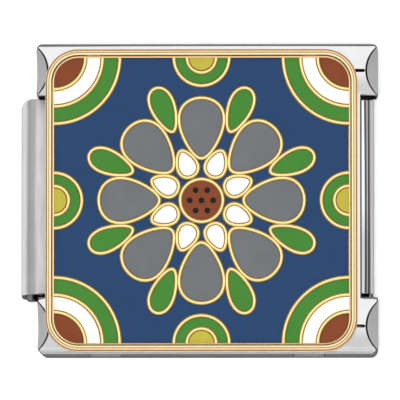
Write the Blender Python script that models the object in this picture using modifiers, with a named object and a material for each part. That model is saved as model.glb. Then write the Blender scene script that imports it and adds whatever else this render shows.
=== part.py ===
"""A 9 mm snap-together bracelet link: a sprung steel case with a gilt, enamelled face tray.

The link lies on its back. +X runs along the bracelet towards the sprung hook, +Y across the
band, +Z out of the face. The origin is under the middle of the whole link, on its back.
The link is two stamped cases, clenched together by four staples. Its rolled tongue, at -X,
drops into the hook of the link before it; its own hook, at +X, swings on a pin between the
ears of the upper case and is pressed home by a leaf spring.
"""

import math

import bmesh
import bpy
from mathutils import Vector

MM = 0.001

# --- Driving dimensions, in millimetres ------------------------------------------------------
BAND_WIDTH = 9.0          # across the bracelet, edge to edge
CASE_LENGTH = 9.95        # along the bracelet, ear to ear: the pitch of the links
TONGUE_REACH = 0.5        # the tongue stands out this far past the ears
LOWER_HEIGHT = 1.9
UPPER_BOTTOM = 2.0
UPPER_TOP = 3.6
SHEET = 0.25              # stamped steel of both cases
GAP = 0.02                # between pieces that rest on each other
CLEAR = 1.0               # how far a cutter runs out past what it cuts

CASE_LEFT = -(CASE_LENGTH + TONGUE_REACH) / 2 + TONGUE_REACH
CASE_RIGHT = (CASE_LENGTH + TONGUE_REACH) / 2
HALF_BAND = BAND_WIDTH / 2

# Ears: the box channels along the two edges of the band, whose ends flank tongue and hook
EAR_WIDTH = 1.54
EAR_INSIDE = HALF_BAND - EAR_WIDTH
EAR_MIDDLE = HALF_BAND - EAR_WIDTH / 2
EAR_END_WALL = 0.62
EDGE_ROUND = 0.1
OUTER_CORNER = 0.3        # in plan, at the four corners of the link
INNER_CORNER = 0.11       # in plan, beside the tongue and the hook
SCOOP_DEPTH = 0.33        # how far the coined thumb-nail scoop bites into an ear's end
SCOOP_HALF_WIDTH = 0.7
SCOOP_DROP = 0.95
SLIT_WIDTH = 0.08
SLIT_TO_SCOOP = 0.06
SLIT_LENGTH = 1.2         # most of it is under the face tray
SLIT_DEPTH = 0.35
CENTRE_X = (CASE_LEFT + CASE_RIGHT) / 2
DECK_LEFT = CASE_LEFT + 0.6
PLATE_INTO_EAR = 0.15     # the deck and the back plate run this far into the ears
PLATE_SUNK = 0.03         # and lie this far below the ears' own faces
BACK_LEFT = CASE_LEFT + 0.05

# Hook: one strip, rolled round the pin, hanging down and turned up into a lip
PIN_X = CASE_RIGHT - 0.45
PIN_Z = 3.14
PIN_RADIUS = 0.18
PIN_PLAY = 0.02
PIN_HALF_LENGTH = 3.35
HOOK_STRIP = 0.13
BARREL_RADIUS = PIN_RADIUS + PIN_PLAY + HOOK_STRIP
HOOK_HALF_WIDTH = 2.83
HOOK_BOTTOM = 0.05
HOOK_LIP_X = CASE_RIGHT - 0.19
HOOK_LIP_TOP = 0.82
HOOK_BEND = 0.12
BARREL_SEAM = -112        # degrees round the pin where the rolled edge stops
CASE_TO_HOOK = 0.05       # the deck and the back plate stop this far short of the hook
DECK_RIGHT = PIN_X - BARREL_RADIUS - CASE_TO_HOOK

# Tongue: a thin strip, bent over to the left and turned down
TONGUE_STRIP = 0.15
TONGUE_HALF_WIDTH = 2.86
TONGUE_TOP = 1.85
TONGUE_ROLL = 0.75        # outside radius of the turn-down
TONGUE_HEM = 0.3          # height of its lower edge above the back
TONGUE_ROOT_X = -3.2
TONGUE_ELBOW = 0.25
TONGUE_CORNER = 0.32

# Staples: U-bolts let into the band edges, their feet through windows in both cases
STAPLE_XS = (-2.75, 3.2)
STAPLE_WIDTH = 0.9
STAPLE_STRIP = 0.18
STAPLE_FOOT = 0.75
STAPLE_FEET_Z = (0.95, 2.75)
WINDOW_DEPTH = 0.6        # from the band edge through the ear's outer wall

# Leaf spring inside the upper case
SPRING_STRIP = 0.14
SPRING_HALF_WIDTH = 2.1
SPRING_LEFT = -3.4
SPRING_FLAT = 0.9         # length that lies flat under the deck
SPRING_LOW_Z = 2.25
SPRING_TIP_X = DECK_RIGHT

# Face tray and enamel
TRAY_LENGTH = 9.04
TRAY_WIDTH = 8.77
TRAY_X = CENTRE_X - 0.15  # soldered on a little off the middle, both ways
TRAY_Y = -0.09
TRAY_CORNER = 0.96
TRAY_BOTTOM = UPPER_TOP + GAP
TRAY_TOP = 4.32
RIM_WIDTH = 0.22
RIM_ROUND = 0.09
TRAY_FLOOR = 3.86
ENAMEL_TOP = 4.16

ROUND_SEGMENTS = 24
BEND_STEPS = 5
STEEL = ("polished_steel", (0.62, 0.62, 0.63), 0.16, 1.0)
SPRING_STEEL = ("spring_steel", (0.5, 0.5, 0.51), 0.28, 1.0)
GILT = ("gilt_brass", (0.83, 0.6, 0.3), 0.2, 1.0)
ENAMEL = ("blue_enamel", (0.032, 0.076, 0.17), 0.12, 0.0)


# --- Scene and materials ---------------------------------------------------------------------
def clear_scene():
    for obj in list(bpy.data.objects):
        bpy.data.objects.remove(obj, do_unlink=True)


def new_collection(name):
    collection = bpy.data.collections.new(name)
    bpy.context.scene.collection.children.link(collection)
    return collection


def material(look):
    name, colour, roughness, metallic = look
    found = bpy.data.materials.get(name)
    if found:
        return found
    made = bpy.data.materials.new(name)
    made.use_nodes = True
    shader = made.node_tree.nodes["Principled BSDF"]
    shader.inputs["Base Color"].default_value = (*colour, 1.0)
    shader.inputs["Roughness"].default_value = roughness
    shader.inputs["Metallic"].default_value = metallic
    return made


def finish_part(obj, name, look):
    """Names a piece of the link, files it under the link and gives it its material."""
    move_to(obj, LINK)
    obj.name = name
    obj.data.name = name
    obj.data.materials.clear()
    obj.data.materials.append(material(look))
    return obj


def move_to(obj, collection):
    for old in list(obj.users_collection):
        old.objects.unlink(obj)
    collection.objects.link(obj)


def as_cutter(obj):
    """A helper that a Boolean reads and that is no piece of the link."""
    move_to(obj, CUTTERS)
    obj.hide_render = True
    obj.display_type = "WIRE"
    return obj


# --- Shapes ----------------------------------------------------------------------------------
def block(low, high):
    """A box between two corners, in millimetres, its scale applied."""
    low, high = Vector(low) * MM, Vector(high) * MM
    bpy.ops.mesh.primitive_cube_add(size=1, location=(low + high) / 2)
    obj = bpy.context.active_object
    obj.scale = high - low
    bpy.ops.object.transform_apply(location=False, rotation=False, scale=True)
    return obj


def rod(centre, radius, length, direction=(0, 1, 0), segments=ROUND_SEGMENTS):
    """A cylinder about centre, its axis along direction."""
    turn = Vector(direction).to_track_quat("Z", "Y").to_euler()
    bpy.ops.mesh.primitive_cylinder_add(
        vertices=segments, radius=radius * MM, depth=length * MM,
        location=Vector(centre) * MM, rotation=turn,
    )
    return bpy.context.active_object


def rounded_plate(low, high, corners, segments=8):
    """A plate between two corners of its box, its own corners rounded in plan.

    corners gives the four radii, counter-clockwise from the corner at +X, +Y.
    """
    shape = bmesh.new()
    ring = []
    for quarter, radius in enumerate(corners):
        centre_x = high[0] - radius if quarter in (0, 3) else low[0] + radius
        centre_y = high[1] - radius if quarter in (0, 1) else low[1] + radius
        for step in range(segments + 1):
            angle = (quarter + step / segments) * math.pi / 2
            x = centre_x + radius * math.cos(angle)
            y = centre_y + radius * math.sin(angle)
            ring.append(shape.verts.new((x * MM, y * MM, low[2] * MM)))
    face = shape.faces.new(ring)
    raised = bmesh.ops.extrude_face_region(shape, geom=[face])
    lifted = [v for v in raised["geom"] if isinstance(v, bmesh.types.BMVert)]
    bmesh.ops.translate(shape, verts=lifted, vec=(0, 0, (high[2] - low[2]) * MM))
    bmesh.ops.recalc_face_normals(shape, faces=shape.faces)
    return object_from(shape, "plate")


def object_from(shape, name):
    mesh = bpy.data.meshes.new(name)
    shape.to_mesh(mesh)
    shape.free()
    obj = bpy.data.objects.new(name, mesh)
    LINK.objects.link(obj)
    return obj


def arc(centre, radius, start, end, steps=BEND_STEPS):
    """Points on an arc in the XZ plane, its angles in degrees from +X towards +Z."""
    points = []
    for step in range(steps + 1):
        angle = math.radians(start + (end - start) * step / steps)
        points.append((centre[0] + radius * math.cos(angle), centre[1] + radius * math.sin(angle)))
    return points


def strip_between(edge, other_edge, thickness):
    """A strip of sheet whose middle spans two edges with matching points."""
    shape = bmesh.new()
    near = [shape.verts.new(Vector(point) * MM) for point in edge]
    far = [shape.verts.new(Vector(point) * MM) for point in other_edge]
    for i in range(len(near) - 1):
        shape.faces.new((near[i], near[i + 1], far[i + 1], far[i]))
    obj = object_from(shape, "strip")
    sheet = obj.modifiers.new("sheet", "SOLIDIFY")
    sheet.thickness = thickness * MM
    sheet.offset = 0
    sheet.use_even_offset = True
    return obj


def bent_strip(path, half_width, thickness):
    """A strip of sheet, wide along Y, whose middle follows path in the XZ plane."""
    near = [(x, -half_width, z) for x, z in path]
    far = [(x, half_width, z) for x, z in path]
    return strip_between(near, far, thickness)


# --- Modifiers -------------------------------------------------------------------------------
def boolean(obj, cutter, operation="DIFFERENCE"):
    cut = obj.modifiers.new(operation.lower(), "BOOLEAN")
    cut.operation = operation
    cut.object = as_cutter(cutter)


def round_edges(obj, width, segments=2, angle=40):
    bevel = obj.modifiers.new("edges", "BEVEL")
    bevel.width = width * MM
    bevel.segments = segments
    bevel.limit_method = "ANGLE"
    bevel.angle_limit = math.radians(angle)


def smooth(obj, angle=35):
    obj.data.shade_smooth()
    obj.data.set_sharp_from_angle(angle=math.radians(angle))


# --- Features shared by both cases -----------------------------------------------------------
def scoop(end_x, outward, side_y, rim_z, down):
    """The thumb-nail scoop on an ear's end: a cylinder leaning outwards as it goes down."""
    radius = (SCOOP_HALF_WIDTH ** 2 + SCOOP_DEPTH ** 2) / (2 * SCOOP_DEPTH)
    centre = (end_x + outward * (radius - SCOOP_DEPTH), side_y, rim_z)
    lean = (outward * SCOOP_DEPTH, 0, down * SCOOP_DROP)
    return rod(centre, radius, 4 * SCOOP_DROP, lean, segments=48)


def cut_ear_ends(case, rim_z, down):
    for end_x, outward in ((CASE_LEFT, -1), (CASE_RIGHT, 1)):
        for side in (-1, 1):
            boolean(case, scoop(end_x, outward, side * EAR_MIDDLE, rim_z, down))


def hollow_ears(case, bottom, top):
    """Each ear channel is open where the two cases meet, and closed at its ends."""
    for side in (-1, 1):
        near, far = sorted((side * (EAR_INSIDE + SHEET), side * (HALF_BAND - SHEET)))
        low = (CASE_LEFT + EAR_END_WALL, near, bottom)
        boolean(case, block(low, (CASE_RIGHT - EAR_END_WALL, far, top)))


def cut_band_edge(case, side, depth, low, high):
    """Cuts a box into a band edge; low and high are its (x, z) corners."""
    near, far = sorted((side * (HALF_BAND - depth), side * (HALF_BAND + CLEAR)))
    boolean(case, block((low[0], near, low[1]), (high[0], far, high[1])))


def seat_staples(case, bottom, top, foot_z):
    """Shallow recesses for the staples' backs, and a window under each for its foot."""
    half = STAPLE_WIDTH / 2 + GAP
    half_foot = STAPLE_STRIP / 2 + GAP
    for x in STAPLE_XS:
        for side in (-1, 1):
            cut_band_edge(case, side, STAPLE_STRIP + GAP, (x - half, bottom), (x + half, top))
            window = (x - half, foot_z - half_foot), (x + half, foot_z + half_foot)
            cut_band_edge(case, side, WINDOW_DEPTH, *window)


# --- Pieces ----------------------------------------------------------------------------------
def ear_bar(side, bottom, top):
    """One band edge from ear to ear, its rims rounded; side is 1 at +Y and -1 at -Y."""
    near, far = sorted((side * EAR_INSIDE, side * HALF_BAND))
    outer, inner = (OUTER_CORNER,) * 2, (INNER_CORNER,) * 2
    corners = outer + inner if side > 0 else inner + outer
    bar = rounded_plate((CASE_LEFT, near, bottom), (CASE_RIGHT, far, top), corners, segments=4)
    round_edges(bar, EDGE_ROUND)
    return bar


def case_blank(bottom, top, plate_left, plate_bottom, plate_top):
    """Two band edges joined by the plate between them."""
    case = ear_bar(1, bottom, top)
    boolean(case, ear_bar(-1, bottom, top), "UNION")
    half = EAR_INSIDE + PLATE_INTO_EAR
    plate = block((plate_left, -half, plate_bottom), (DECK_RIGHT, half, plate_top))
    boolean(case, plate, "UNION")
    return case


def upper_case():
    """Deck, band edges and ears of the upper case, open underneath."""
    under_deck = UPPER_TOP - SHEET
    case = case_blank(UPPER_BOTTOM, UPPER_TOP, DECK_LEFT, under_deck, UPPER_TOP - PLATE_SUNK)
    hollow_ears(case, UPPER_BOTTOM - CLEAR, under_deck)
    cut_ear_ends(case, UPPER_TOP, -1)
    foot_z = STAPLE_FEET_Z[1]
    seat_staples(case, UPPER_BOTTOM - CLEAR, foot_z + STAPLE_STRIP / 2 + GAP, foot_z)
    cut_slits(case)
    boolean(case, rod((PIN_X, 0, PIN_Z), PIN_RADIUS + PIN_PLAY, 2 * (PIN_HALF_LENGTH + GAP)))
    return finish_part(case, "upper_case", STEEL)


def cut_slits(case):
    """A fine slit along the crown of each ear, from beside its scoop to under the tray."""
    reach = CASE_LENGTH / 2 - SCOOP_DEPTH - SLIT_TO_SCOOP
    for outward in (-1, 1):
        ends = (reach, reach - SLIT_LENGTH)
        near, far = sorted(CENTRE_X + outward * distance for distance in ends)
        for side in (-1, 1):
            middle = side * EAR_MIDDLE
            low = (near, middle - SLIT_WIDTH / 2, UPPER_TOP - SLIT_DEPTH)
            boolean(case, block(low, (far, middle + SLIT_WIDTH / 2, UPPER_TOP + CLEAR)))


def tongue():
    """The spring-steel tongue: up from the back plate, over to the left and turned down."""
    middle = TONGUE_STRIP / 2
    top = TONGUE_TOP - middle
    roll = TONGUE_ROLL - middle
    left = CASE_LEFT - TONGUE_REACH
    elbow = TONGUE_ELBOW
    path = [(TONGUE_ROOT_X, (PLATE_SUNK + SHEET) / 2)]
    path += arc((TONGUE_ROOT_X - elbow, top - elbow), elbow, 0, 90)
    path += arc((left + TONGUE_ROLL, top - roll), roll, 90, 180, steps=9)
    path += [(left + middle, TONGUE_HEM)]
    strip = bent_strip(path, TONGUE_HALF_WIDTH, TONGUE_STRIP)
    low = (left, -TONGUE_HALF_WIDTH, -CLEAR)
    high = (TONGUE_ROOT_X + CLEAR, TONGUE_HALF_WIDTH, UPPER_TOP)
    boolean(strip, rounded_plate(low, high, (TONGUE_CORNER,) * 4), "INTERSECT")
    return strip


def lower_case():
    """Back plate, band edges and ears of the lower case, with the tongue that it carries."""
    case = case_blank(0, LOWER_HEIGHT, BACK_LEFT, PLATE_SUNK, SHEET)
    hollow_ears(case, SHEET, LOWER_HEIGHT + CLEAR)
    cut_ear_ends(case, 0, 1)
    foot_z = STAPLE_FEET_Z[0]
    seat_staples(case, foot_z - STAPLE_STRIP / 2 - GAP, LOWER_HEIGHT + CLEAR, foot_z)
    boolean(case, tongue(), "UNION")
    return finish_part(case, "lower_case", STEEL)


def staple(name, x, side):
    """A U-bolt: its back lies in the band edge and its two feet reach into the ear channel."""
    back = side * (HALF_BAND - STAPLE_STRIP / 2)
    foot_end = side * (HALF_BAND - STAPLE_FOOT)
    low, high = STAPLE_FEET_Z
    path = [(foot_end, low), (back, low), (back, high), (foot_end, high)]
    left = [(x - STAPLE_WIDTH / 2, y, z) for y, z in path]
    right = [(x + STAPLE_WIDTH / 2, y, z) for y, z in path]
    obj = strip_between(left, right, STAPLE_STRIP)
    return finish_part(obj, name, SPRING_STEEL)


def hook():
    """The sprung hook: a strip rolled into a barrel, a leaf down, a foot and a turned-up lip."""
    middle = HOOK_STRIP / 2
    roll = BARREL_RADIUS - middle
    leaf_x = PIN_X - roll
    foot_z = HOOK_BOTTOM + middle
    path = arc((PIN_X, PIN_Z), roll, BARREL_SEAM, 180, steps=18)
    path += arc((leaf_x + HOOK_BEND, foot_z + HOOK_BEND), HOOK_BEND, 180, 270, steps=4)
    path += arc((HOOK_LIP_X - HOOK_BEND, foot_z + HOOK_BEND), HOOK_BEND, -90, 0, steps=4)
    path += [(HOOK_LIP_X, HOOK_LIP_TOP)]
    obj = finish_part(bent_strip(path, HOOK_HALF_WIDTH, HOOK_STRIP), "hook", STEEL)
    smooth(obj)
    return obj


def hinge_pin():
    pin = rod((PIN_X, 0, PIN_Z), PIN_RADIUS, 2 * PIN_HALF_LENGTH)
    smooth(pin)
    return finish_part(pin, "hinge_pin", SPRING_STEEL)


def leaf_spring():
    """A bowed strip that springs from under the deck down and up again to the barrel."""
    top = UPPER_TOP - SHEET - GAP - SPRING_STRIP / 2
    path = [(SPRING_LEFT, top)]
    steps = 12
    bow_start = SPRING_LEFT + SPRING_FLAT
    for step in range(steps + 1):
        share = step / steps
        x = bow_start + share * (SPRING_TIP_X - bow_start)
        path.append((x, top - (top - SPRING_LOW_Z) * math.sin(math.pi * share) ** 2))
    return finish_part(bent_strip(path, SPRING_HALF_WIDTH, SPRING_STRIP), "leaf_spring", SPRING_STEEL)


def tray_plate(inset, bottom, top):
    """A plate with the tray's outline, drawn in by inset all round."""
    half_x, half_y = TRAY_LENGTH / 2 - inset, TRAY_WIDTH / 2 - inset
    low = (TRAY_X - half_x, TRAY_Y - half_y, bottom)
    high = (TRAY_X + half_x, TRAY_Y + half_y, top)
    return rounded_plate(low, high, (TRAY_CORNER - inset,) * 4)


def face_tray():
    """The gilt tray: a raised rim round the recess that holds the enamel."""
    tray = tray_plate(0, TRAY_BOTTOM, TRAY_TOP)
    boolean(tray, tray_plate(RIM_WIDTH, TRAY_FLOOR, TRAY_TOP + CLEAR))
    round_edges(tray, RIM_ROUND, segments=2, angle=60)
    smooth(tray)
    return finish_part(tray, "face_tray", GILT)


def enamel_panel():
    """The block of enamel that fills the tray's recess."""
    panel = tray_plate(RIM_WIDTH + GAP, TRAY_FLOOR + GAP, ENAMEL_TOP)
    return finish_part(panel, "enamel_panel", ENAMEL)


clear_scene()
LINK = new_collection("bracelet_link")
CUTTERS = new_collection("cutters")
upper_case()
lower_case()
for index, staple_x in enumerate(STAPLE_XS):
    end = ("left", "right")[index]
    staple(f"staple_near_{end}", staple_x, -1)
    staple(f"staple_far_{end}", staple_x, 1)
hook()
hinge_pin()
leaf_spring()
face_tray()
enamel_panel()
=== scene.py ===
"""The looks of a 9 mm snap-together bracelet link: fine pieces, finishes, studio light and camera.

Sizes are in millimetres and heights are over the link's back. +X runs along the bracelet
towards the sprung hook, +Y across the band, +Z out of the face.
"""

import math

import bmesh
import bpy
from mathutils import Matrix, Vector


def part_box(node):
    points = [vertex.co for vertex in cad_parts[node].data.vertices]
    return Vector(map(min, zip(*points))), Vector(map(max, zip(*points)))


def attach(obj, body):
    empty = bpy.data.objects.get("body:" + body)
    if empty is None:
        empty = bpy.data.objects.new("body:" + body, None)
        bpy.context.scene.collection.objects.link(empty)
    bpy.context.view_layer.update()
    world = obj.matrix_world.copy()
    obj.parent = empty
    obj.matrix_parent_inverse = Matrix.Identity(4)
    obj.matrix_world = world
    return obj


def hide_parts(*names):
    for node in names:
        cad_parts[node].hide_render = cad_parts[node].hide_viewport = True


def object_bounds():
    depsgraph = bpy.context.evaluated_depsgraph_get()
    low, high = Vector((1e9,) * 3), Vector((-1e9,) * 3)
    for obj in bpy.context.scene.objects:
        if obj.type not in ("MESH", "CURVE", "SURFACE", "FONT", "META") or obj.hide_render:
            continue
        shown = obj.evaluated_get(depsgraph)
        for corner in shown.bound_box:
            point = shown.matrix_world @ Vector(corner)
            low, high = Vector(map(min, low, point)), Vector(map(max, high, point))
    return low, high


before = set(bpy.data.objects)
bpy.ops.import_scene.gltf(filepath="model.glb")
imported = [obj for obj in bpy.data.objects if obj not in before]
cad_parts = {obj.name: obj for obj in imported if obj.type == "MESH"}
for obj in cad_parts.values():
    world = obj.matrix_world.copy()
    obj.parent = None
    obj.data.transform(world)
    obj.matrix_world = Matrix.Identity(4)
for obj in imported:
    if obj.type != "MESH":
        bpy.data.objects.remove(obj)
CAD_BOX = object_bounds()
MM = 0.001


def box_mm(node):
    """A CAD piece's low and high corners in millimetres."""
    low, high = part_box(node)
    return low / MM, high / MM


# --- Sizes from the CAD boxes ---
UPPER_LOW, UPPER_HIGH = box_mm("upper_case")
LOWER_LOW, LOWER_HIGH = box_mm("lower_case")
TRAY_LOW, TRAY_HIGH = box_mm("face_tray")
HOOK_LOW, HOOK_HIGH = box_mm("hook")
PIN_LOW, PIN_HIGH = box_mm("hinge_pin")
SPRING_LOW, SPRING_HIGH = box_mm("leaf_spring")
ENAMEL_BOTTOM = box_mm("enamel_panel")[0].z
STAPLE_XS = [sum(corner.x for corner in box_mm("staple_near_" + end)) / 2 for end in ("left", "right")]

CASE_LEFT, CASE_RIGHT = UPPER_LOW.x, UPPER_HIGH.x
LOWER_TOP = LOWER_HIGH.z
CENTRE_X = (CASE_LEFT + CASE_RIGHT) / 2
HALF_BAND = UPPER_HIGH.y
TONGUE_LEFT = LOWER_LOW.x
TRAY_CENTRE = (TRAY_LOW + TRAY_HIGH) / 2
TRAY_HALF = (TRAY_HIGH - TRAY_LOW) / 2
PIN_X = (PIN_LOW.x + PIN_HIGH.x) / 2
PIN_Z = (PIN_LOW.z + PIN_HIGH.z) / 2
PIN_RADIUS = (PIN_HIGH.z - PIN_LOW.z) / 2
BARREL_RADIUS = HOOK_HIGH.z - PIN_Z

# --- Sizes the boxes don't give ---
# Where two sides differ, 1 is the far one, at +Y, and -1 the near one, at -Y.
SHEET = 0.25
GAP = 0.02
CLEAR = 1.0  # how far a cutter reaches clear of what it cuts
QUARTERS = ((1, 1), (-1, 1), (-1, -1), (1, -1))  # their signs, counter-clockwise
STRIP_EDGE = 0.03  # the eased edge of the tongue's, the hook's and the spring's strip

EAR_WIDTHS = {1: 1.51, -1: 1.62}
LEFT_SET_IN = {1: 0.0, -1: 0.04}  # how far the ears stop short of the link's left end
EAR_MIDDLE = HALF_BAND - 0.785
EAR_END_WALL = 0.62
EAR_SLICES = 20
CROWN_DOME = 0.035  # the crown of an ear stands this much proud of its long edges
LONG_EDGE_ROUND = 0.04
NEAR_EDGE_ROUND = 0.012  # the crown's edge along the near band edge
HIGHLIGHT_STRIP = 0.055  # the strip along that edge that gets a painted highlight
HIGHLIGHT_FADE = (2.85, 3.1)  # the band edges turn from grey to a painted highlight between these heights
RIM_ROUND = 0.06  # where a scoop breaks the crown
RIM_GROWTH = 3  # how fast that round comes in with the scoop's depth
SEAT_ROUND = 0.04  # where the two cases meet
OUTER_CORNER = 0.2
INNER_CORNER = 0.11
LOWER_HOOK_CORNER = 0.4  # rounder in the lower case at the hook end, to let the hook out
FLARE = 0.03  # the upper ears widen towards the hook and the tongue by this much
FLARE_LENGTH = 0.4
SCOOP_DEPTH = 0.33
SCOOP_HALF_WIDTH = 0.7
SCOOP_DROP = 0.95
SCOOP_BLEND = 0.02
SCOOP_ROWS = 24
SLIT_WIDTH = 0.085
SLIT_LENGTH = 1.2
SLIT_DEPTH = 0.9
SLIT_TO_END = 0.39
SLIT_END_ROUND = 0.98  # a share of its half width
MOUTH_EASE = 0.006  # the mouths of slits and recesses are eased by this much

PLATE_INTO_EAR = 0.15
PLATE_SUNK = 0.03
PLATE_EDGE = 0.02
PLATE_CORNER = 0.05
PLATE_HALF_WIDTH = HALF_BAND - EAR_WIDTHS[1] + PLATE_INTO_EAR
DECK_LEFT = CASE_LEFT + 0.6
DECK_RIGHT = HOOK_LOW.x - 0.05
BACK_LEFT = CASE_LEFT + 0.05
DECK_LIP_LAP = 0.1  # how far the lip reaches back into the deck
DECK_LIP_RIGHT = PIN_X - 0.055
DECK_LIP_ROUND = 0.03
DECK_LIP_UNDER = HOOK_HIGH.z + 0.02

TONGUE_STRIP = 0.15
TONGUE_HALF_WIDTH = 2.86
TONGUE_SIDE_PLAY = 0.155  # the tongue sits this much towards the far ears
TONGUE_TOP = 1.85
TONGUE_ROLL = 0.5
TONGUE_HEM = 0.3  # how high the roll's underside is
TONGUE_ROOT_X = -3.2
TONGUE_ELBOW = 0.25
TONGUE_CORNER = 0.32  # the round of its far corner
TONGUE_SLANT = 0.08  # how far its near end leans out for each millimetre down

WEB_THICK = 0.15
WEB_INTO_EAR = 0.01
WEB_LOW = TONGUE_HEM + 0.16
WEB_HIGH = TONGUE_TOP - TONGUE_STRIP - 0.01
WEB_LEFT = TONGUE_LEFT + 0.42
WEB_RIGHT = CASE_LEFT + 0.35
WEB_CORNER = 0.12
HEM_LEFT = TONGUE_LEFT + TONGUE_STRIP + 0.03
HEM_RIGHT = WEB_LEFT - 0.01
HEM_CORNER = 0.1

STAPLE_STRIP = 0.18
STAPLE_EDGE = 0.035
STAPLE_WIDTH = 0.9
STAPLE_FOOT = 0.75
STAPLE_FEET_Z = (0.95, 2.75)
STAPLE_BEND = 0.14
STAPLE_SEAT_CORNER = 0.05
WINDOW_DEPTH = 0.6

HOOK_STRIP = 0.13
HOOK_BEND = 0.12
HOOK_SIDE_PLAY = 0.05  # the hook sits this much towards the far ears
HOOK_LIP_X = CASE_RIGHT - 0.19
HOOK_LIP_TOP = 0.82
BARREL_SEAM = -112  # where the barrel's strip starts, in degrees
PIN_EASE = 0.03

SPRING_STRIP = 0.14
SPRING_FLAT = 0.9

TRAY_CORNER = 0.96
TRAY_FOOT = ((-0.05, 0), (-0.01, 0.015), (0, 0.05))  # (growth, rise) round its underside
RIM_WIDTH = 0.25
RIM_ROLL = 0.06  # radius of the rim's outer edge
# The rim's groove and bead: (growth, depth under the rim's top), from its outer roll inwards
RIM_BEAD = (
    (-0.066, 0.0), (-0.09, 0.0008), (-0.096, 0.002), (-0.101, 0.0045), (-0.109, 0.0045), (-0.114, 0.002),
    (-0.12, 0.0006), (-0.15, 0.0), (-0.178, 0.002), (-0.184, 0.006), (-0.189, 0.02), (-0.196, 0.1),
    (-0.2, 0.14), (-0.207, 0.152),
)
BEAD_OUTER, BEAD_INNER = -0.112, -0.183  # the bead is given a paler, yellower gold as a painted highlight
LEDGE_DEPTH = 0.1575  # the ledge inside the bead, under the rim's top
LEDGE_EDGE = 0.006
TRAY_FLOOR = 3.86
TRAY_WALL_DRAFT = 0.002  # the wall inside the rim leans in by this much down to the floor

GROUND_TOP = 4.1
# The ground creeps up at the rim: (distance in from the rim, rise)
GROUND_EDGE = ((GAP / 2, 0.004), (0.05, 0.002), (0.1, 0))
CELL_FOOT = GROUND_TOP - 0.04
CELL_TOP = 4.106
CELL_LAP = 0.003  # the cells at the rim lap into it by this much
WIRE_FOOT = GROUND_TOP - 0.05
WIRE_TOP = 4.155
TRAY_WALL_TOP = WIRE_TOP - 0.02  # of the wall inside the rim
WIRE_WIDTH = 0.14
WIRE_CREST = ((1, 0.036), (0.82, 0.01), (0.48, 0))  # (share of the half width, depth), up its side
WIRE_INTO_RIM = 0.04

FIELD_HALF = (TRAY_HALF.x - RIM_WIDTH, TRAY_HALF.y - RIM_WIDTH)
FIELD_CORNER = TRAY_CORNER - RIM_WIDTH

# --- The enamel pattern ---
COLOURS = ("brown", "white", "grey", "green", "lime", "black")
ROSETTE_EYE = 0.62
ROSETTE_TURNS = 8
# The rosette's leaves: colour, inner end, outer end, half width, swell, points, turn in degrees
ROSETTE_LEAVES = (
    ("grey", 1.22, 2.98, 0.62, 0.35, 64, 0),
    ("white", 0.74, 1.56, 0.29, -0.3, 40, 22.5),
    ("green", 2.16, 3.52, 0.33, 0.3, 48, 22.5),
)
SEEDS = 6
SEED_RING = 0.34
SEED_RADIUS = 0.085
SEED_RISE = 0.01
# Rings: colour, inner radius, outer radius
CORNER_RINGS = (("brown", 0.0, 0.9), ("white", 0.9, 1.4), ("green", 1.4, 1.9))
SIDE_RINGS = (("lime", 0.0, 0.42), ("green", 0.42, 0.8))

# --- Which faces have another finish or painted shade and highlight, by their places and their normals' parts along an axis ---
UPRIGHT_RISE = 0.05  # a wall's normal rises or falls no more than this
BAND_EDGE_RISE = 0.3  # or than this if it looks across the band
ACROSS_SHARE = 0.93
INWARD_SHARE = 0.5
CHANNEL_TOP = LOWER_TOP - 0.3
INNER_WALL_Y = HALF_BAND - min(EAR_WIDTHS.values()) + 0.04
SCOOP_RIM_ENDWAYS = 0.33
SCOOP_RIM_RISE = (0.42, 0.9)
CROWN_EDGE_RISE = 0.25
CROWN_EDGE_HEIGHT = 0.1
TONGUE_END_SHARE = 0.7
TONGUE_INSIDE_SHARE = 0.5

# --- Studio sizes ---
FLOOR_HALF = 3000
FLOOR_CORNER = 10
FLOOR_THICK = 5
FILL_PLACE = (0, -30, 500)
FILL_SIZE = (40, 40)
FILL_RADIANCE = 280
# The room's light by angle from straight overhead, in degrees
ROOM_BANDS = (
    (0, 2.2), (18, 2.2), (20.5, 0.25), (40.5, 0.25), (43, 1.5), (50, 1.5), (52, 0.2), (74, 0.2),
    (78, 0.85), (90, 0.95),
)
# and how it dips across the band, from the near side, -1, to the far side, 1
ROOM_ACROSS = ((-1, 1), (-0.3, 1), (-0.15, 0.7), (-0.035, 0.7), (0.045, 1), (1, 1))
CAMERA_DISTANCE = 240
CAMERA_LEAN = (1.0, 3.3)  # towards +X and towards -Y, in degrees
CAMERA_AIM = (0.053, -0.063, -0.5)  # from the middle of the link's top
FRAME_WIDTH = 11.6


# --- Outlines and paths ---
def arc(centre, radius, start, end, steps):
    """Points on an arc, its angles in degrees from the first axis towards the second."""
    points = []
    for step in range(steps + 1):
        angle = math.radians(start + (end - start) * step / steps)
        points.append((centre[0] + radius * math.cos(angle), centre[1] + radius * math.sin(angle)))
    return points


def rounded_box(half_a, half_b, radius, centre=(0, 0), steps=8):
    """A rounded rectangle, counter-clockwise from its right side."""
    points = []
    for quarter, (side_a, side_b) in enumerate(QUARTERS):
        corner = (centre[0] + side_a * (half_a - radius), centre[1] + side_b * (half_b - radius))
        points += arc(corner, radius, quarter * 90, quarter * 90 + 90, steps)
    return points


def run(start, end, steps):
    """Points along a straight line, from start and short of end."""
    return [
        (start[0] + (end[0] - start[0]) * step / steps, start[1] + (end[1] - start[1]) * step / steps)
        for step in range(steps)
    ]


def circle(centre, radius, steps=72):
    """Points round a circle."""
    return arc(centre, radius, 0, 360, steps)[:-1]


def leaf_outline(inner, outer, half_width, swell, steps=64):
    """An egg along the first axis from inner to outer; swell above 0 moves its widest part out."""
    middle, half = (inner + outer) / 2, (outer - inner) / 2
    points = []
    for step in range(steps):
        angle = math.tau * step / steps
        across = half_width * math.sin(angle) * (1 + swell * math.cos(angle))
        points.append((middle + half * math.cos(angle), across))
    return points


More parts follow.
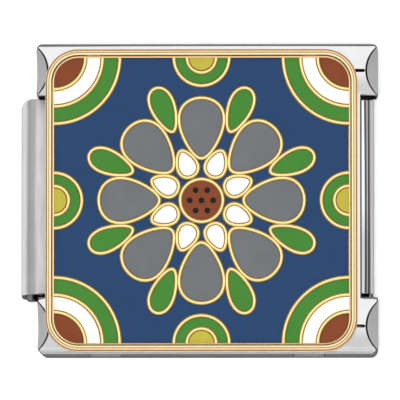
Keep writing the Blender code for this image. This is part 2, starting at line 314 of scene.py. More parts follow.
def turned(points, angle):
    """Points turned round the origin by an angle in degrees."""
    cosine, sine = math.cos(math.radians(angle)), math.sin(math.radians(angle))
    return [(cosine * a - sine * b, sine * a + cosine * b) for a, b in points]


def normals(points, closed):
    """The right-hand unit normal at each point of a path, longer at its corners."""
    count = len(points)
    found = []
    for i, point in enumerate(points):
        before = points[i - 1] if closed or i > 0 else point
        after = points[(i + 1) % count] if closed or i < count - 1 else point
        arriving = Vector(point) - Vector(before)
        leaving = Vector(after) - Vector(point)
        sides = [Vector((d.y, -d.x)).normalized() for d in (arriving, leaving) if d.length > 1e-9]
        middle = sum(sides, Vector((0, 0))).normalized()
        found.append(middle / max(middle.dot(sides[0]), 0.5))
    return found


# --- Meshes ---
def linked(shape):
    """A bmesh made an object in the scene."""
    mesh = bpy.data.meshes.new("part")
    shape.to_mesh(mesh)
    shape.free()
    obj = bpy.data.objects.new("part", mesh)
    bpy.context.scene.collection.objects.link(obj)
    return obj


def loft(rings, closed=False):
    """A skin over rings of equal length; flat caps end it unless its rings come full circle."""
    shape = bmesh.new()
    grid = [[shape.verts.new(Vector(point) * MM) for point in ring] for ring in rings]
    pairs = list(zip(grid, grid[1:]))
    if closed:
        pairs.append((grid[-1], grid[0]))
    for ring, following in pairs:
        for i in range(len(ring)):
            j = (i + 1) % len(ring)
            shape.faces.new((ring[i], ring[j], following[j], following[i]))
    if not closed:
        shape.faces.new(grid[0])
        shape.faces.new(grid[-1])
    bmesh.ops.recalc_face_normals(shape, faces=shape.faces)
    return linked(shape)


def stacked(levels, outline):
    """A body from outlines at rising heights; levels lists (growth, height), outline(growth) is 2D."""
    return loft([[(a, b, height) for a, b in outline(growth)] for growth, height in levels])


def strip(path, half_width, thickness):
    """A strip of sheet, wide along Y, whose middle follows path in the XZ plane."""
    section = rounded_box(half_width, thickness / 2, STRIP_EDGE, steps=4)
    return loft([
        [(x + normal.x * out, across, z + normal.y * out) for across, out in section]
        for (x, z), normal in zip(path, normals(path, False))
    ])


def cut(obj, cutter, operation="DIFFERENCE"):
    """Cuts or joins obj with cutter, which is then gone."""
    modifier = obj.modifiers.new("cut", "BOOLEAN")
    modifier.operation = operation
    modifier.object = cutter
    settle(obj)
    bpy.data.objects.remove(cutter, do_unlink=True)


def settle(obj):
    """Makes obj's modifiers part of its mesh."""
    ready = bpy.context.evaluated_depsgraph_get()
    mesh = bpy.data.meshes.new_from_object(obj.evaluated_get(ready))
    obj.modifiers.clear()
    obj.data = mesh


def joined(objects):
    """Several objects made one, their bodies left apart."""
    shape = bmesh.new()
    for obj in objects:
        shape.from_mesh(obj.data)
        bpy.data.objects.remove(obj, do_unlink=True)
    return linked(shape)


def looks_across(face):
    """Whether a face looks across the band."""
    return abs(face.normal.y) > ACROSS_SHARE


def stands_upright(face):
    """Whether a face is part of a wall; the scoops lean back more than this."""
    rise = abs(face.normal.z)
    return rise < UPRIGHT_RISE or rise < BAND_EDGE_RISE and looks_across(face)


def looks_inward(face):
    """Whether a face looks into the space between the two cases."""
    height = face.center.z / MM
    if height > UPPER_LOW.z:
        return face.normal.z < -INWARD_SHARE
    return face.normal.z > INWARD_SHARE and SHEET / 2 < height < CHANNEL_TOP


def edges_near_crown(face):
    """Whether a face is on the strip along the near edge of the near ears' crowns, which gets a painted
    highlight.
    """
    x, y, z = face.center / MM
    at_edge = y < HIGHLIGHT_STRIP - HALF_BAND and z > UPPER_HIGH.z - CROWN_EDGE_HEIGHT
    return at_edge and face.normal.z > CROWN_EDGE_RISE


def rims_scoop(face):
    """Whether a face is on the rim where a scoop breaks its crown, which is darkened with painted shade."""
    low, high = SCOOP_RIM_RISE
    return abs(face.normal.x) > SCOOP_RIM_ENDWAYS and low < face.normal.z < high


def faces_other_ear(face):
    """Whether a face is on an ear's inner wall, across the gap from the other ear's."""
    return looks_across(face) and abs(face.center.y) / MM < INNER_WALL_Y


def is_case_wall(face):
    """Whether a face of a case gets the grey wall finish, with its painted shade and painted highlight,
    instead of the polish.
    """
    return stands_upright(face) or looks_inward(face) or edges_near_crown(face)


def is_case_dark(face):
    """Whether a face of a case is darkened near black with painted shade."""
    return rims_scoop(face) or faces_other_ear(face)


def finish(obj, name, body, material, stands_for=(), sharp=35, areas=()):
    """Names a piece, gives it its finish and lets it ride.

    areas lists (test, material): the faces that a test picks out have that finish instead, and
    a later test outdoes an earlier one.
    """
    obj.name = name
    obj.data.name = name
    obj.data.materials.clear()
    obj.data.materials.append(material)
    for index, (test, other) in enumerate(areas, 1):
        obj.data.materials.append(other)
        for face in obj.data.polygons:
            if test(face):
                face.material_index = index
    obj.data.shade_smooth()
    obj.data.set_sharp_from_angle(angle=math.radians(sharp))
    weighted = obj.modifiers.new("flat faces stay flat", "WEIGHTED_NORMAL")
    weighted.keep_sharp = True
    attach(obj, body)
    if stands_for:
        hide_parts(*stands_for)
    return obj


# --- Materials ---
def linear(colour):
    """An sRGB hex colour as linear red, green, blue and alpha."""
    parts = [int(colour[i:i + 2], 16) / 255 for i in (1, 3, 5)]
    return (*(p / 12.92 if p <= 0.04045 else ((p + 0.055) / 1.055) ** 2.4 for p in parts), 1.0)


NO_SHEEN = linear("#000000")  # a tint that leaves metal dark at a glancing angle


def set_inputs(tree, node, inputs):
    """Sets a node's sockets to values, or links them to other nodes' sockets."""
    for socket, value in inputs.items():
        if isinstance(value, bpy.types.NodeSocket):
            tree.links.new(value, node.inputs[socket])
        else:
            node.inputs[socket].default_value = value


def add(tree, kind, inputs=(), **settings):
    """Adds a node with its settings; inputs maps its sockets to values or to other sockets."""
    node = tree.nodes.new(kind)
    for name, value in settings.items():
        setattr(node, name, value)
    set_inputs(tree, node, dict(inputs))
    return node


def new_material(name):
    """A new material, its node tree and its shader."""
    material = bpy.data.materials.new(name)
    material.use_nodes = True
    tree = material.node_tree
    return material, tree, tree.nodes["Principled BSDF"]


def place_mm(tree, stretch=(1, 1, 1)):
    """The place on the piece in millimetres, each axis multiplied by stretch."""
    place = add(tree, "ShaderNodeTexCoord").outputs["Object"]
    scale = [part / MM for part in stretch]
    return add(tree, "ShaderNodeVectorMath", {0: place, 1: scale}, operation="MULTIPLY").outputs[0]


def noise(tree, per_mm, stretch=(1, 1, 1), detail=2):
    """Noise with so many features in a millimetre, from 0 to 1."""
    inputs = {"Vector": place_mm(tree, stretch), "Scale": per_mm, "Detail": detail}
    return add(tree, "ShaderNodeTexNoise", inputs).outputs["Fac"]


def mapped(tree, value, low, high, to_low=0, to_high=1):
    """A value between low and high, carried over to another range and held in it."""
    inputs = {"Value": value, "From Min": low, "From Max": high, "To Min": to_low, "To Max": to_high}
    return add(tree, "ShaderNodeMapRange", inputs).outputs["Result"]


def spread(tree, value, low, high):
    """Noise, nearly all of it between 0.3 and 0.7, spread over a range of values."""
    return mapped(tree, value, 0.3, 0.7, low, high)


def mixed(tree, share, first, second):
    """A colour between two others, by a share from 0 to 1."""
    inputs = {"Factor": share, 6: first, 7: second}
    return add(tree, "ShaderNodeMix", inputs, data_type="RGBA").outputs[2]


def shades(tree, value, first, second):
    """A colour between two sRGB shades, by a noise."""
    return mixed(tree, spread(tree, value, 0, 1), linear(first), linear(second))


def relief(tree, value, depth):
    """A bump of a real depth in millimetres."""
    return add(tree, "ShaderNodeBump", {"Height": value, "Distance": depth * MM}).outputs["Normal"]


def painted_crevice_shade(tree, open_colour, crevice_shade, reach, depths=(0.06, 0.16)):
    """Painted shade: a colour that darkens where the surface lies deep in a crevice of about this width."""
    opening = {"Distance": reach * MM}
    open_share = add(tree, "ShaderNodeAmbientOcclusion", opening, samples=8).outputs["AO"]
    return mixed(tree, mapped(tree, open_share, *depths), linear(crevice_shade), open_colour)


def along_axis(tree, vector, axis):
    """A vector's part along an axis."""
    return add(tree, "ShaderNodeSeparateXYZ", {0: vector}).outputs[axis]


def facing(tree, axis):
    """How squarely a surface looks along an axis, either way, from 0 to 1."""
    normal = add(tree, "ShaderNodeTexCoord").outputs["Normal"]
    share = along_axis(tree, normal, axis)
    return add(tree, "ShaderNodeMath", {0: share}, operation="ABSOLUTE").outputs[0]


def product(tree, first, second):
    """Two values multiplied."""
    return add(tree, "ShaderNodeMath", {0: first, 1: second}, operation="MULTIPLY").outputs[0]


def polished_stainless_steel():
    """Stamped 304 sheet, polished to a soft mirror on its crowns and duller down the scoops, whose colour is
    darkened there as painted shade.
    """
    material, tree, shader = new_material("polished_stainless_steel")
    lines = noise(tree, 18, (0.15, 1, 1))  # polishing lines 0.06 mm apart
    cloudy = noise(tree, 1.4, detail=4)
    # faces that look up get the buff; the others are rougher and their colour is darkened with painted shade
    buff_and_scoop_shade = mapped(tree, facing(tree, "Z"), 0.06, 0.55)
    painted_scoop_shade = shades(tree, cloudy, "#5C5C5D", "#666666")
    on_crowns = shades(tree, cloudy, "#A8A8A9", "#ADADAC")
    open_colour = mixed(tree, buff_and_scoop_shade, painted_scoop_shade, on_crowns)
    set_inputs(tree, shader, {
        # painted shade darkens the crevices
        "Base Color": painted_crevice_shade(tree, open_colour, "#1A1918", 0.3),
        "Metallic": 1.0,
        "Roughness": mapped(tree, buff_and_scoop_shade, 0, 1, 0.3, spread(tree, cloudy, 0.07, 0.12)),
        "Specular Tint": linear("#EBEBEB"),  # the scoops stay grey at a glancing angle
        "Normal": relief(tree, lines, 0.0003),
    })
    return material


def sheared_steel_with_painted_light():
    """Upright walls, left grey from the press and darkened further as painted shade; the band edges get a
    painted highlight towards their top.
    """
    material, tree, shader = new_material("sheared_steel_with_painted_light")
    lines = noise(tree, 16, (1, 1, 0.06))  # drawing lines run down the walls
    cloudy = noise(tree, 1.4, detail=4)
    height = along_axis(tree, place_mm(tree), "Z")
    # a painted highlight on the upper band edges and on the crown strip beside them
    near_top = mapped(tree, height, *HIGHLIGHT_FADE)
    on_band_edge = mapped(tree, facing(tree, "X"), 0.15, 0.4, 1, 0)
    # grey: a duller sheared finish, darkened further as painted shade
    grey = shades(tree, cloudy, "#8A8A8B", "#929292")
    painted_highlight = shades(tree, cloudy, "#E0E0E0", "#E6E6E5")
    open_colour = mixed(tree, product(tree, near_top, on_band_edge), grey, painted_highlight)
    set_inputs(tree, shader, {
        # painted shade darkens the crevices
        "Base Color": painted_crevice_shade(tree, open_colour, "#080807", 0.4, (0.14, 0.36)),
        "Metallic": 1.0,
        "Roughness": spread(tree, lines, 0.48, 0.56),
        "Specular Tint": NO_SHEEN,
        "Normal": relief(tree, lines, 0.0005),
    })
    return material


def rolled_stainless_steel():
    """The hook's 301 strip, rolled and polished before it was bent: a clear mirror."""
    material, tree, shader = new_material("mirror_rolled_stainless_steel")
    lines = noise(tree, 16, (1, 0.06, 1))
    cloudy = noise(tree, 1.4, detail=4)
    set_inputs(tree, shader, {
        "Base Color": shades(tree, cloudy, "#AFAFB0", "#B4B4B3"),
        "Metallic": 1.0,
        "Roughness": spread(tree, cloudy, 0.03, 0.05),
        "Specular Tint": linear("#B4B4B4"),  # greyer down the barrel's flanks
        "Normal": relief(tree, lines, 0.0002),
    })
    return material


def satin_stainless_steel():
    """Spring-tempered 301 strip, satin brushed across the band: soft reflections, no mirror."""
    material, tree, shader = new_material("satin_stainless_steel")
    lines = noise(tree, 16, (1, 0.06, 1))
    cloudy = noise(tree, 1.4, detail=4)
    open_colour = shades(tree, cloudy, "#D4D4D4", "#DADAD9")
    set_inputs(tree, shader, {
        # painted shade darkens the crevices
        "Base Color": painted_crevice_shade(tree, open_colour, "#1A1918", 0.15),
        "Metallic": 1.0,
        "Roughness": spread(tree, lines, 0.38, 0.46),
        "Specular Tint": linear("#B0B0B0"),  # no brighter down its flank
        "Normal": relief(tree, lines, 0.0006),
    })
    return material


def bright_spring_steel():
    """Cold-rolled 301 strip, left as rolled: greyer, with rolling lines along its length."""
    material, tree, shader = new_material("bright_rolled_spring_steel")
    lines = noise(tree, 14, (0.08, 1, 0.08))
    cloudy = noise(tree, 1.8, detail=3)
    set_inputs(tree, shader, {
        "Base Color": shades(tree, cloudy, "#B9B9B8", "#C3C2C0"),
        "Metallic": 1.0,
        "Roughness": spread(tree, lines, 0.4, 0.48),
        "Specular Tint": NO_SHEEN,
        "Normal": relief(tree, lines, 0.0006),
    })
    return material


def painted_shade_steel():
    """Near black, mottled steel: painted shade for faces that lie deep in shade."""
    material, tree, shader = new_material("painted_shade_steel")
    worn = noise(tree, 5, detail=4)
    set_inputs(tree, shader, {
        "Base Color": shades(tree, worn, "#0B0B0A", "#343433"),
        "Metallic": 1.0,
        "Roughness": spread(tree, worn, 0.6, 0.45),
        "Specular Tint": NO_SHEEN,
        "Normal": relief(tree, worn, 0.004),
    })
    return material


def gold_plated_brass(name, shade, other_shade):
    """Die-struck brass, polished and gold plated: warm, bright on its crests."""
    material, tree, shader = new_material("gold_plated_brass_" + name)
    cloudy = noise(tree, 2.2, detail=4)
    fine = noise(tree, 16)
    set_inputs(tree, shader, {
        "Base Color": shades(tree, cloudy, shade, other_shade),
        "Metallic": 1.0,
        "Roughness": spread(tree, cloudy, 0.09, 0.14),
        "Normal": relief(tree, fine, 0.0003),
    })
    return material


def fired_enamel(name, shade, other_shade):
    """Vitreous enamel fired in its cell and stoned level: even, with faint clouds and pits."""
    material, tree, shader = new_material("fired_enamel_" + name)
    cloudy = noise(tree, 1.6, detail=4)
    grain = noise(tree, 14)
    set_inputs(tree, shader, {
        "Base Color": shades(tree, cloudy, shade, other_shade),
        "Roughness": spread(tree, grain, 0.36, 0.44),
        "IOR": 1.5,
        "Specular IOR Level": 0.2,
        "Normal": relief(tree, grain, 0.0003),
    })
    return material


def pale_paper():
    """The floor: uncoated white board, with a faint glow of its own that keeps it even."""
    material, tree, shader = new_material("white_board")
    fibres = noise(tree, 3, detail=3)
    set_inputs(tree, shader, {
        "Base Color": shades(tree, fibres, "#F4F4F4", "#F8F8F8"),
        "Roughness": 0.9,
        "Emission Color": linear("#FFFFFF"),
        "Emission Strength": 0.2,
    })
    return material


# --- The two cases ---
def edge_drop(distance, radius):
    """How far a surface has fallen away, this distance in from an edge of that radius."""
    reach = max(radius - distance, 0.0)
    return radius - math.sqrt(max(radius ** 2 - reach ** 2, 0.0))


def round_stations(radius, steps=6):
    """Distances from an edge at even angles round its rounding."""
    return [radius * (1 - math.cos(math.pi / 2 * step / steps)) for step in range(steps + 1)]


def crown_drop(across, width, side):
    """How far a crown has fallen at its long edges, which are crisper on the near band edge."""
    to_outer = width - across
    if side < 0 and to_outer < across:
        return edge_drop(to_outer, NEAR_EDGE_ROUND)
    return edge_drop(min(across, to_outer), LONG_EDGE_ROUND)


def ear_slices(width, side):
    """Distances across an ear, closest together at its rounded edges."""
    inner = round_stations(LONG_EDGE_ROUND) + [INNER_CORNER + 0.03]
    outer = round_stations(LONG_EDGE_ROUND if side > 0 else NEAR_EDGE_ROUND)
    outer += round_stations(OUTER_CORNER)[3:]
    first, last = inner[-1], width - max(outer)
    middle = [first + (last - first) * step / EAR_SLICES for step in range(1, EAR_SLICES)]
    return sorted(set(inner + middle + [width - distance for distance in outer]))


def scoop_depth(from_middle, drop):
    """How deep the thumb-nail scoop cuts into an ear's end, this far under the crown."""
    radius = (SCOOP_HALF_WIDTH ** 2 + SCOOP_DEPTH ** 2) / (2 * SCOOP_DEPTH)
    at_rim = math.sqrt(max(radius ** 2 - from_middle ** 2, 0.0)) - (radius - SCOOP_DEPTH)
    return at_rim - SCOOP_DEPTH * drop / SCOOP_DROP


def ear_end(across, width, crown, seat, inner_corner):
    """One slice's end from crown to seat: (distance in from the link's end, height) points."""
    corner = edge_drop(across, inner_corner) + edge_drop(width - across, OUTER_CORNER)
    from_middle = HALF_BAND - width + across - EAR_MIDDLE
    share = min(max(scoop_depth(from_middle, 0) / SCOOP_DEPTH * RIM_GROWTH, 0.0), 1.0)
    rim = LONG_EDGE_ROUND + (RIM_ROUND - LONG_EDGE_ROUND) * share
    drops = round_stations(LONG_EDGE_ROUND)
    foot = [crown - seat - rise for rise in reversed(round_stations(SEAT_ROUND, 3))]
    fall = foot[0] - drops[-1]
    drops += [drops[-1] + fall * step / SCOOP_ROWS for step in range(1, SCOOP_ROWS)] + foot
    points = []
    for drop in drops:
        scoop = scoop_depth(from_middle, drop)
        apart = corner - scoop
        depth = (corner + scoop + math.sqrt(apart ** 2 + SCOOP_BLEND ** 2)) / 2
        depth += edge_drop(drop, rim) + edge_drop(crown - seat - drop, SEAT_ROUND)
        points.append((depth, crown - drop))
    return points


def ear_bar(side, seat_z, crown_z, flare, hook_corner):
    """One band edge from ear to ear; side is 1 at +Y and -1 at -Y."""
    up = 1 if crown_z > seat_z else -1
    height = abs(crown_z - seat_z)
    width = EAR_WIDTHS[side]
    rings = []
    for across in ear_slices(width, side):
        hump = (2 * across / width - 1) ** 2
        crown = height - CROWN_DOME * hump - crown_drop(across, width, side)
        seat = edge_drop(min(across, width - across), SEAT_ROUND)
        hook_end = ear_end(across, width, crown, seat, hook_corner)
        right = [(CASE_RIGHT - depth, level) for depth, level in hook_end]
        start = CASE_LEFT + LEFT_SET_IN[side]
        tongue_end = ear_end(across, width, crown, seat, INNER_CORNER)
        left = [(start + depth, level) for depth, level in reversed(tongue_end)]
        ring = []
        for x, level in right + left:
            to_end = min(x - CASE_LEFT, CASE_RIGHT - x)
            near = max(1 - to_end / FLARE_LENGTH, 0.0)
            spread_in = flare * near ** 2 * (1 - across / width)
            y = side * (HALF_BAND - width + across - spread_in)
            ring.append((x, y, seat_z + up * level))
        rings.append(ring)
    return loft(rings)


def pocket(outline, place, depth):
    """A cutter for a pocket with an eased mouth; place(a, b, out) lies its outline on the surface."""
    steps = ((-depth, 0), (-MOUTH_EASE, 0), (0, MOUTH_EASE), (CLEAR, MOUTH_EASE))
    return loft([[place(a, b, out) for a, b in outline(grow)] for out, grow in steps])


def block(low, high):
    """A plain box cutter."""
    corners = ((low[0], low[1]), (high[0], low[1]), (high[0], high[1]), (low[0], high[1]))
    return loft([[(x, y, z) for x, y in corners] for z in (low[2], high[2])])


def hollow_ear(bar, side, bottom, top):
    """The ear channel, open where the two cases meet and closed at its ends."""
    near, far = sorted((side * (HALF_BAND - EAR_WIDTHS[side] + SHEET), side * (HALF_BAND - SHEET)))
    cut(bar, block((CASE_LEFT + EAR_END_WALL, near, bottom), (CASE_RIGHT - EAR_END_WALL, far, top)))


def slit(side, outward):
    """A cutter for the slit beside one scoop; outward is 1 at the hook's end, -1 at the tongue's."""
    reach = (CASE_RIGHT - CASE_LEFT) / 2 - SLIT_TO_END
    middle = (CENTRE_X + outward * (reach - SLIT_LENGTH / 2), side * EAR_MIDDLE)

    def outline(grow):
        half_length, half_width = SLIT_LENGTH / 2 + grow, SLIT_WIDTH / 2 + grow
        return rounded_box(half_length, half_width, half_width * SLIT_END_ROUND, middle, steps=5)

    return pocket(outline, lambda a, b, out: (a, b, UPPER_HIGH.z + out), SLIT_DEPTH)


def cut_slits(bar, side):
    """A fine slit along the crown beside each scoop, running in under the face tray."""
    for outward in (-1, 1):
        cut(bar, slit(side, outward))


def staple_seat(side, staple_x, low, high):
    """A cutter for the recess that a staple's back lies in."""
    half = STAPLE_WIDTH / 2 + GAP
    middle = (staple_x, (low + high) / 2)

    def outline(grow):
        return rounded_box(half + grow, (high - low) / 2 + grow, STAPLE_SEAT_CORNER, middle, steps=3)

    def place(a, b, out):
        return (a, side * (HALF_BAND + out), b)

    return pocket(outline, place, STAPLE_STRIP + GAP)


def staple_window(side, staple_x, foot_z):
    """A cutter for the window that a staple's foot goes through."""
    half = STAPLE_WIDTH / 2 + GAP
    half_foot = STAPLE_STRIP / 2 + GAP
    near, far = sorted((side * (HALF_BAND - WINDOW_DEPTH), side * (HALF_BAND - STAPLE_STRIP)))
    return block((staple_x - half, near, foot_z - half_foot), (staple_x + half, far, foot_z + half_foot))


def seat_staples(bar, side, low, high, foot_z):
    """The staples' recesses in a band edge, and the window under each for its foot."""
    for staple_x in STAPLE_XS:
        cut(bar, staple_seat(side, staple_x, low, high))
        cut(bar, staple_window(side, staple_x, foot_z))


def plate(left, bottom, top):
    """The flat sheet between the two band edges of a case."""
    half_x = (DECK_RIGHT - left) / 2

    def outline(grow):
        return rounded_box(half_x + grow, PLATE_HALF_WIDTH + grow, PLATE_CORNER, (left + half_x, 0), steps=2)

    levels = ((-PLATE_EDGE, bottom), (0, bottom + PLATE_EDGE), (0, top - PLATE_EDGE), (-PLATE_EDGE, top))
    return stacked(levels, outline)


def deck_lip(top):
    """The deck's thinned lip, eased at its edge, which covers the half of the barrel next to it."""
    left = DECK_RIGHT - DECK_LIP_LAP
    section = [(left, top), (left, DECK_LIP_UNDER), (DECK_LIP_RIGHT, DECK_LIP_UNDER)]
    section += arc((DECK_LIP_RIGHT - DECK_LIP_ROUND, top - DECK_LIP_ROUND), DECK_LIP_ROUND, 0, 90, 6)
    return loft([[(x, y, z) for x, z in section] for y in (-PLATE_HALF_WIDTH, PLATE_HALF_WIDTH)])


def pin_hole():
    """A cutter for the hole that the hinge pin goes through."""
    outline = circle((PIN_X, PIN_Z), PIN_RADIUS + GAP, 32)
    return loft([[(x, y, z) for x, z in outline] for y in (-PIN_HIGH.y - GAP, PIN_HIGH.y + GAP)])


def case_shell(parts, name, node):
    """A case's parts made one; its walls are grey with painted shade and highlight, and its shaded faces are
    painted near black.
    """
    for part in parts[1:]:
        cut(parts[0], part, "UNION")
    # painted shade and highlight on the walls; near black painted shade on the scoops' rims and the ears'
    # inner walls
    areas = ((is_case_wall, WALL_STEEL), (is_case_dark, DARK_STEEL))
    return finish(parts[0], name, "case", STEEL, [node], areas=areas)


def upper_case():
    """Ears, band edges and deck of the upper case."""
    seat, crown = UPPER_LOW.z, UPPER_HIGH.z
    foot_z = STAPLE_FEET_Z[1]
    bars = []
    for side in (-1, 1):
        bar = ear_bar(side, seat, crown, FLARE, INNER_CORNER)
        hollow_ear(bar, side, seat - CLEAR, crown - SHEET)
        cut_slits(bar, side)
        seat_staples(bar, side, seat - CLEAR, foot_z + STAPLE_STRIP / 2 + GAP, foot_z)
        cut(bar, pin_hole())
        bars.append(bar)
    deck = plate(DECK_LEFT, crown - SHEET, crown - PLATE_SUNK)
    return case_shell(bars + [deck, deck_lip(crown - PLATE_SUNK)], "upper_case_shell", "upper_case")


def lower_case():
    """Ears, band edges and back plate of the lower case."""
    seat, crown = LOWER_TOP, LOWER_LOW.z
    foot_z = STAPLE_FEET_Z[0]
    bars = []
    for side in (-1, 1):
        bar = ear_bar(side, seat, crown, 0.0, LOWER_HOOK_CORNER)
        hollow_ear(bar, side, SHEET, seat + CLEAR)
        seat_staples(bar, side, foot_z - STAPLE_STRIP / 2 - GAP, seat + CLEAR, foot_z)
        bars.append(bar)
    return case_shell(bars + [plate(BACK_LEFT, PLATE_SUNK, SHEET)], "lower_case_shell", "lower_case")


def roll_web(name, left, right, corner, material):
    """A web that closes a part of the roll's near end, beside the ear."""
    half_x, half_z = (right - left) / 2, (WEB_HIGH - WEB_LOW) / 2
    outline = rounded_box(half_x, half_z, corner, (left + half_x, WEB_LOW + half_z), steps=6)
    near = EAR_WIDTHS[-1] - HALF_BAND + WEB_INTO_EAR
    obj = loft([[(x, y, z) for x, z in outline] for y in (near, near + WEB_THICK)])
    return finish(obj, name, "case", material, ["lower_case"])


def at_near_end(face):
    """Whether a face of the tongue is on its near end."""
    return face.normal.y < -TONGUE_END_SHARE


def inside_roll(face):
    """Whether a face of the tongue looks into its roll."""
    to_middle = Vector((TONGUE_LEFT + TONGUE_ROLL, 0, (TONGUE_TOP + TONGUE_HEM) / 2)) * MM - face.center
    looks_to_it = face.normal.x * to_middle.x + face.normal.z * to_middle.z > 0
    return abs(face.normal.y) < TONGUE_INSIDE_SHARE and looks_to_it


def tongue():
    """The rolled tongue: up from the back plate, over to the left, down and in again."""
    middle = TONGUE_STRIP / 2
    top = TONGUE_TOP - middle
    roll = TONGUE_ROLL - middle
    path = [(TONGUE_ROOT_X, (PLATE_SUNK + SHEET) / 2)]
    path += arc((TONGUE_ROOT_X - TONGUE_ELBOW, top - TONGUE_ELBOW), TONGUE_ELBOW, 0, 90, 10)
    path += arc((TONGUE_LEFT + TONGUE_ROLL, top - roll), roll, 90, 180, 24)
    path += arc((TONGUE_LEFT + TONGUE_ROLL, TONGUE_HEM + TONGUE_ROLL), roll, 180, 270, 16)
    obj = strip(path, TONGUE_HALF_WIDTH, TONGUE_STRIP)
    for vertex in obj.data.vertices:
        x, y, z = vertex.co / MM
        if y > 0:
            y -= edge_drop(max(x - TONGUE_LEFT, 0.0), TONGUE_CORNER)
        else:
            y -= TONGUE_SLANT * (TONGUE_TOP - z)
        vertex.co = Vector((x, y + TONGUE_SIDE_PLAY, z)) * MM
    obj.data.update()
    # painted shade: the near end in the grey wall steel, the inside of the roll near black
    areas = ((at_near_end, WALL_STEEL), (inside_roll, DARK_STEEL))
    return finish(obj, "tongue", "case", SATIN_STEEL, ["lower_case"], areas=areas)


def staple(node):
    """A U-bolt: its back lies in the band edge and its two feet reach into the ear channel."""
    low, high = box_mm(node)
    side = 1 if low.y > 0 else -1
    back = HALF_BAND - STAPLE_STRIP / 2
    foot_end = HALF_BAND - STAPLE_FOOT
    bottom, top = STAPLE_FEET_Z
    bend = STAPLE_BEND
    path = [(foot_end, bottom)]
    path += arc((back - bend, bottom + bend), bend, -90, 0, 6)
    path += arc((back - bend, top - bend), bend, 0, 90, 6)
    path += [(foot_end, top)]
    section = rounded_box(STAPLE_WIDTH / 2, STAPLE_STRIP / 2, STAPLE_EDGE, steps=4)
    middle_x = (low.x + high.x) / 2
    rings = []
    for (out, z), normal in zip(path, normals(path, False)):
        rings.append([
            (middle_x + across, side * (out + normal.x * thick), z + normal.y * thick)
            for across, thick in section
        ])
    return finish(loft(rings), node + "_bolt", "case", SPRING_STEEL, [node])


# --- Hook, pin and spring ---
def hook():
    """The sprung hook: rolled round the pin, a leaf down, a foot and a turned-up lip."""
    middle = HOOK_STRIP / 2
    roll = BARREL_RADIUS - middle
    leaf_x = PIN_X - roll
    foot_z = HOOK_LOW.z + middle
    path = arc((PIN_X, PIN_Z), roll, BARREL_SEAM, 180, 60)
    path += arc((leaf_x + HOOK_BEND, foot_z + HOOK_BEND), HOOK_BEND, 180, 270, 8)
    path += arc((HOOK_LIP_X - HOOK_BEND, foot_z + HOOK_BEND), HOOK_BEND, -90, 0, 8)
    path += [(HOOK_LIP_X, HOOK_LIP_TOP)]
    obj = strip(path, HOOK_HIGH.y, HOOK_STRIP)
    obj.data.transform(Matrix.Translation((0, HOOK_SIDE_PLAY * MM, 0)))
    return finish(obj, "hook_strip", "hook", HOOK_STEEL, ["hook"])


def hinge_pin():
    """A hardened pin with eased ends."""
    ends = (
        (-PIN_EASE, PIN_LOW.y), (0, PIN_LOW.y + PIN_EASE),
        (0, PIN_HIGH.y - PIN_EASE), (-PIN_EASE, PIN_HIGH.y),
    )
    obj = loft([
        [(x, y, z) for x, z in circle((PIN_X, PIN_Z), PIN_RADIUS + grow, 48)]
        for grow, y in ends
    ])
    # near black: painted shade, as the pin lies in shadow inside the barrel and ears
    return finish(obj, "pin", "case", DARK_STEEL, ["hinge_pin"])


def leaf_spring():
    """A bowed strip from under the deck, down and up again to the hook's barrel."""
    middle = SPRING_STRIP / 2
    top = SPRING_HIGH.z - middle
    low = SPRING_LOW.z + middle
    start = SPRING_LOW.x + SPRING_FLAT
    steps = 40
    path = [(SPRING_LOW.x, top)]
    for step in range(steps + 1):
        share = step / steps
        x = start + share * (SPRING_HIGH.x - start)
        path.append((x, top - (top - low) * math.sin(math.pi * share) ** 2))
    obj = strip(path, SPRING_HIGH.y, SPRING_STRIP)
    return finish(obj, "bowed_spring", "case", SPRING_STEEL, ["leaf_spring"])


# --- Face tray, wires and enamel ---
def tray_outline(grow):
    """The tray's outline in plan, grown by this much."""
    half_x, half_y = TRAY_HALF.x + grow, TRAY_HALF.y + grow
    centre = (TRAY_CENTRE.x, TRAY_CENTRE.y)
    return rounded_box(half_x, half_y, TRAY_CORNER + grow, centre, steps=24)


def face_tray():
    """The die-struck tray: a rolled rim with a groove and a bead round its floor."""
    bottom, top = TRAY_LOW.z, TRAY_HIGH.z
    levels = [(grow, bottom + rise) for grow, rise in TRAY_FOOT]
    levels += [(a - RIM_ROLL, b + top - RIM_ROLL) for a, b in arc((0, 0), RIM_ROLL, 0, 90, 10)]
    levels += [(grow, top - depth) for grow, depth in RIM_BEAD]
    levels += [(-RIM_WIDTH + LEDGE_EDGE, top - LEDGE_DEPTH), (-RIM_WIDTH, TRAY_WALL_TOP)]
    levels += [(-RIM_WIDTH - TRAY_WALL_DRAFT, TRAY_FLOOR)]
    ring_length = len(tray_outline(0))

    def on_bead(face):
        grown, height = levels[face.index // ring_length]
        return BEAD_INNER < grown < BEAD_OUTER and height > top - RIM_ROLL

    obj = stacked(levels, tray_outline)
    # the bead's paler gold is a painted highlight
    areas = ((on_bead, BEAD_HIGHLIGHT_GILT),)
    return finish(obj, "gilt_tray", "case", GILT, ["face_tray"], sharp=50, areas=areas)


def held_in_field(points):
    """Points drawn in to the enamel field, so that they lap into its rim by a hair."""
    inner_x = FIELD_HALF[0] - FIELD_CORNER
    inner_y = FIELD_HALF[1] - FIELD_CORNER
    held = []
    for a, b in points:
        near = Vector((min(max(a, -inner_x), inner_x), min(max(b, -inner_y), inner_y)))
        away = Vector((a, b)) - near
        reach = FIELD_CORNER + CELL_LAP
        if away.length > reach:
            away = away.normalized() * reach
        held.append(tuple(near + away))
    return held


def on_face(points, height):
    """Places in the field, whose origin is its middle, as points on the link."""
    return [(TRAY_CENTRE.x + a, TRAY_CENTRE.y + b, height) for a, b in points]


